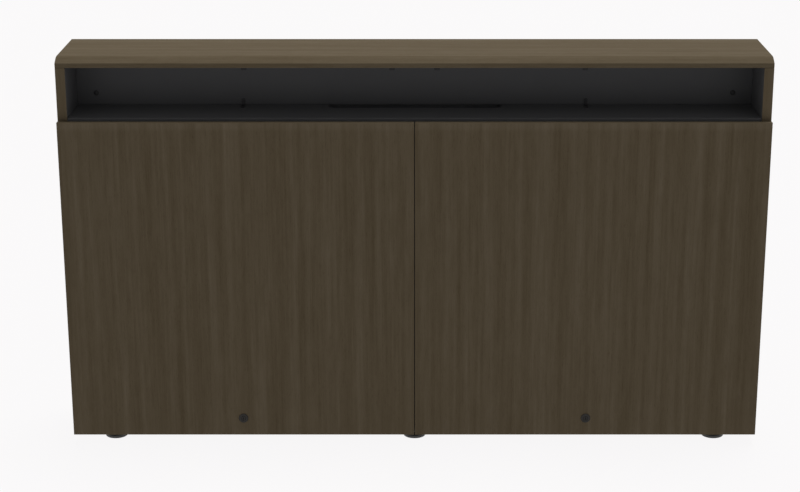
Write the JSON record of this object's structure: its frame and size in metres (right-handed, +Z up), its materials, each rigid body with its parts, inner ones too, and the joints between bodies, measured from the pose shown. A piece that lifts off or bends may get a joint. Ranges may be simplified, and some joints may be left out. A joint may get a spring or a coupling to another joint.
{
  "type": "office credenza",
  "caption": "Tall shallow office credenza with an open cable cubby under a bevelled top, bays behind locking lift-up fronts, adjustable shelves and levelling feet.",
  "frame": {"origin": "on the floor, in the middle of the overall width and depth", "axes": "+X to the right seen from the front, -Y out of the front, +Z up"},
  "size_m": [1.829, 0.2846, 1.049],
  "materials": {
    "wood_laminate": "matt dark brown wood-grain laminate",
    "black_laminate": "matt black laminate",
    "black_steel": "satin black painted steel",
    "zinc_steel": "zinc-plated steel",
    "lock_metal": "dark nickel-finished lock",
    "black_plastic": "matt black moulded cap",
    "clear_rubber": "translucent soft bumper",
    "black_foot": "black painted steel foot"
  },
  "bodies": {
    "case": {"top_panel": "wood_laminate", "left_side_panel": "wood_laminate", "right_side_panel": "wood_laminate", "bottom_panel": "black_laminate", "center_partition": "black_laminate", "cubby_shelf": "black_laminate", "cubby_back_panel": "black_laminate", "rear_panel": "black_laminate", "left_adjustable_shelf": "black_laminate", "right_adjustable_shelf": "black_laminate", "left_shelf_pin_inner_front": "zinc_steel", "left_shelf_pin_inner_rear": "zinc_steel", "left_shelf_pin_outer_front": "zinc_steel", "left_shelf_pin_outer_rear": "zinc_steel", "right_shelf_pin_inner_front": "zinc_steel", "right_shelf_pin_inner_rear": "zinc_steel", "right_shelf_pin_outer_front": "zinc_steel", "right_shelf_pin_outer_rear": "zinc_steel", "left_hinge_case_leaf": "black_steel", "left_hinge_pin": "zinc_steel", "right_hinge_case_leaf": "black_steel", "right_hinge_pin": "zinc_steel", "left_outer_top_bracket": "black_steel", "left_inner_top_bracket": "black_steel", "right_outer_top_bracket": "black_steel", "right_inner_top_bracket": "black_steel", "left_shelf_bracket": "black_steel", "right_shelf_bracket": "black_steel", "left_screw_cap": "black_plastic", "right_screw_cap": "black_plastic", "left_lower_bumper": "clear_rubber", "left_upper_bumper": "clear_rubber", "right_lower_bumper": "clear_rubber", "right_upper_bumper": "clear_rubber", "left_lock_strike": "zinc_steel", "right_lock_strike": "zinc_steel", "front_left_insert": "zinc_steel", "front_center_insert": "zinc_steel", "front_right_insert": "zinc_steel", "rear_left_insert": "zinc_steel", "rear_center_insert": "zinc_steel", "rear_right_insert": "zinc_steel"},
    "left_front": {"left_door": "wood_laminate", "left_hinge_door_leaf": "black_steel", "left_lock_housing": "lock_metal", "left_lock_nut": "zinc_steel"},
    "right_front": {"right_door": "wood_laminate", "right_hinge_door_leaf": "black_steel", "right_lock_housing": "lock_metal", "right_lock_nut": "zinc_steel"},
    "left_lock": {"left_lock_plug": "lock_metal", "left_lock_cam": "zinc_steel"},
    "right_lock": {"right_lock_plug": "lock_metal", "right_lock_cam": "zinc_steel"},
    "front_left_leveller": {"front_left_foot": "black_foot"},
    "front_center_leveller": {"front_center_foot": "black_foot"},
    "front_right_leveller": {"front_right_foot": "black_foot"},
    "rear_left_leveller": {"rear_left_foot": "black_foot"},
    "rear_center_leveller": {"rear_center_foot": "black_foot"},
    "rear_right_leveller": {"rear_right_foot": "black_foot"}
  },
  "joints": [
    {"name": "left_front_lift", "type": "hinge", "parent": "case", "child": "left_front", "pos_m": [-0.4447, -0.1232, 0.8833], "axis": [-1, 0, 0], "range_deg": [0, 90]},
    {"name": "right_front_lift", "type": "hinge", "parent": "case", "child": "right_front", "pos_m": [0.4447, -0.1232, 0.8833], "axis": [-1, 0, 0], "range_deg": [0, 90]},
    {"name": "left_lock_turn", "type": "hinge", "parent": "left_front", "child": "left_lock", "pos_m": [-0.45775, -0.1297, 0.076], "axis": [0, -1, 0], "range_deg": [0, 90]},
    {"name": "right_lock_turn", "type": "hinge", "parent": "right_front", "child": "right_lock", "pos_m": [0.45775, -0.1297, 0.076], "axis": [0, -1, 0], "range_deg": [0, 90]},
    {"name": "front_left_level", "type": "slide", "parent": "case", "child": "front_left_leveller", "axis": [0, 0, -1], "range_m": [0, 0.012]},
    {"name": "front_center_level", "type": "slide", "parent": "case", "child": "front_center_leveller", "axis": [0, 0, -1], "range_m": [0, 0.012]},
    {"name": "front_right_level", "type": "slide", "parent": "case", "child": "front_right_leveller", "axis": [0, 0, -1], "range_m": [0, 0.012]},
    {"name": "rear_left_level", "type": "slide", "parent": "case", "child": "rear_left_leveller", "axis": [0, 0, -1], "range_m": [0, 0.012]},
    {"name": "rear_center_level", "type": "slide", "parent": "case", "child": "rear_center_leveller", "axis": [0, 0, -1], "range_m": [0, 0.012]},
    {"name": "rear_right_level", "type": "slide", "parent": "case", "child": "rear_right_leveller", "axis": [0, 0, -1], "range_m": [0, 0.012]}
  ]
}
